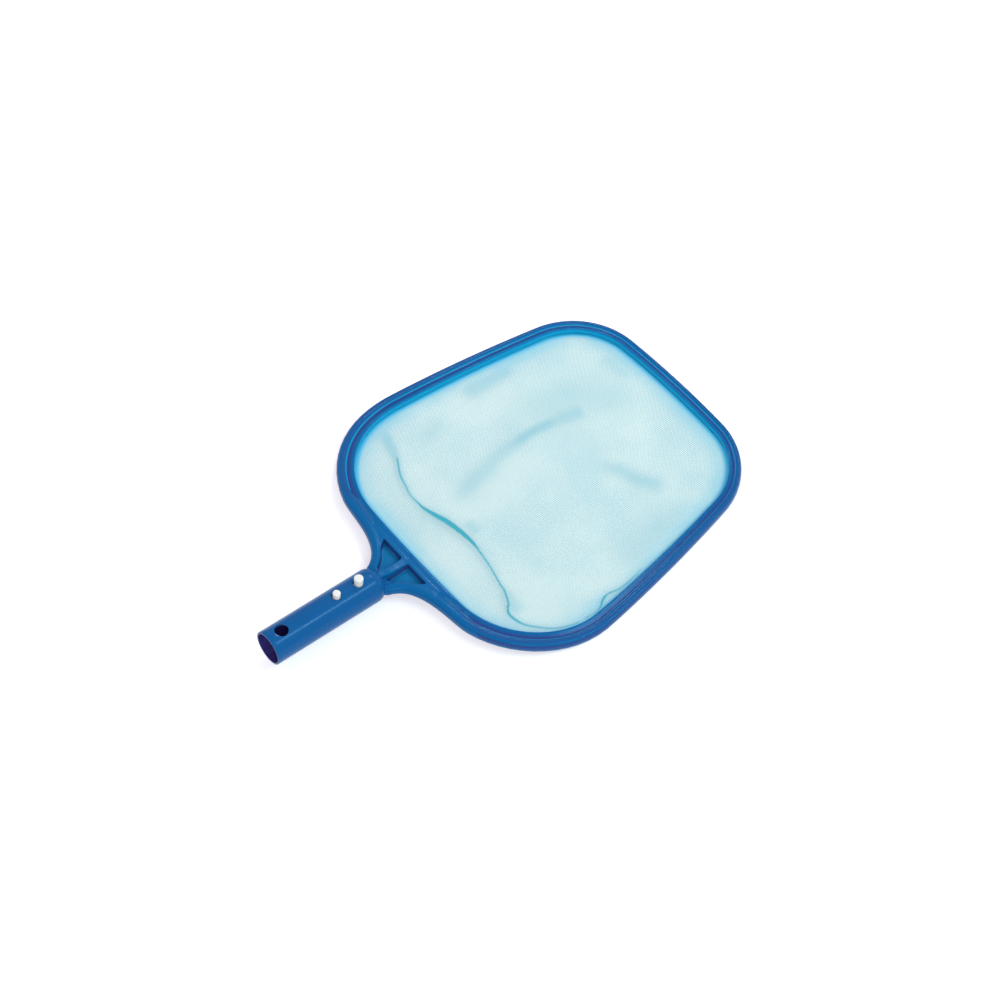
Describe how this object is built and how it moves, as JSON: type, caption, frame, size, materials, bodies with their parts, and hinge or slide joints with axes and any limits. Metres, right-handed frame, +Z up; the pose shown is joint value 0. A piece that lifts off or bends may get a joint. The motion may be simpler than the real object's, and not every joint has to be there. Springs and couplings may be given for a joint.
{
  "type": "leaf skimmer net head",
  "caption": "Flat pool leaf skimmer head: a blue moulded frame with a fine stretched net and a pole socket with white push buttons.",
  "frame": {"origin": "centre of the overall box, at the rim's underside", "axes": "+X from the pole socket towards the far side of the net, +Z up out of the net's open side"},
  "size_m": [0.5091, 0.3426, 0.0449],
  "materials": {
    "frame_blue": "satin",
    "socket_blue": "satin",
    "ring_blue": "satin",
    "hem_teal": "matte",
    "net_aqua": "matte",
    "clip_white": "satin",
    "button_white": "satin"
  },
  "bodies": {
    "head": {"frame": "frame_blue", "handle_socket": "socket_blue", "net_ring": "ring_blue", "net_hem": "hem_teal", "net": "net_aqua", "clip_base": "clip_white"},
    "button_arm": {"clip_arm": "button_white"}
  },
  "joints": [
    {"name": "button_press", "type": "hinge", "parent": "head", "child": "button_arm", "pos_m": [-0.13378, 0, 0.02948], "axis": [0, -1, 0], "range_deg": [0, 8.5], "stiffness_Nm_per_rad": 0.8}
  ]
}
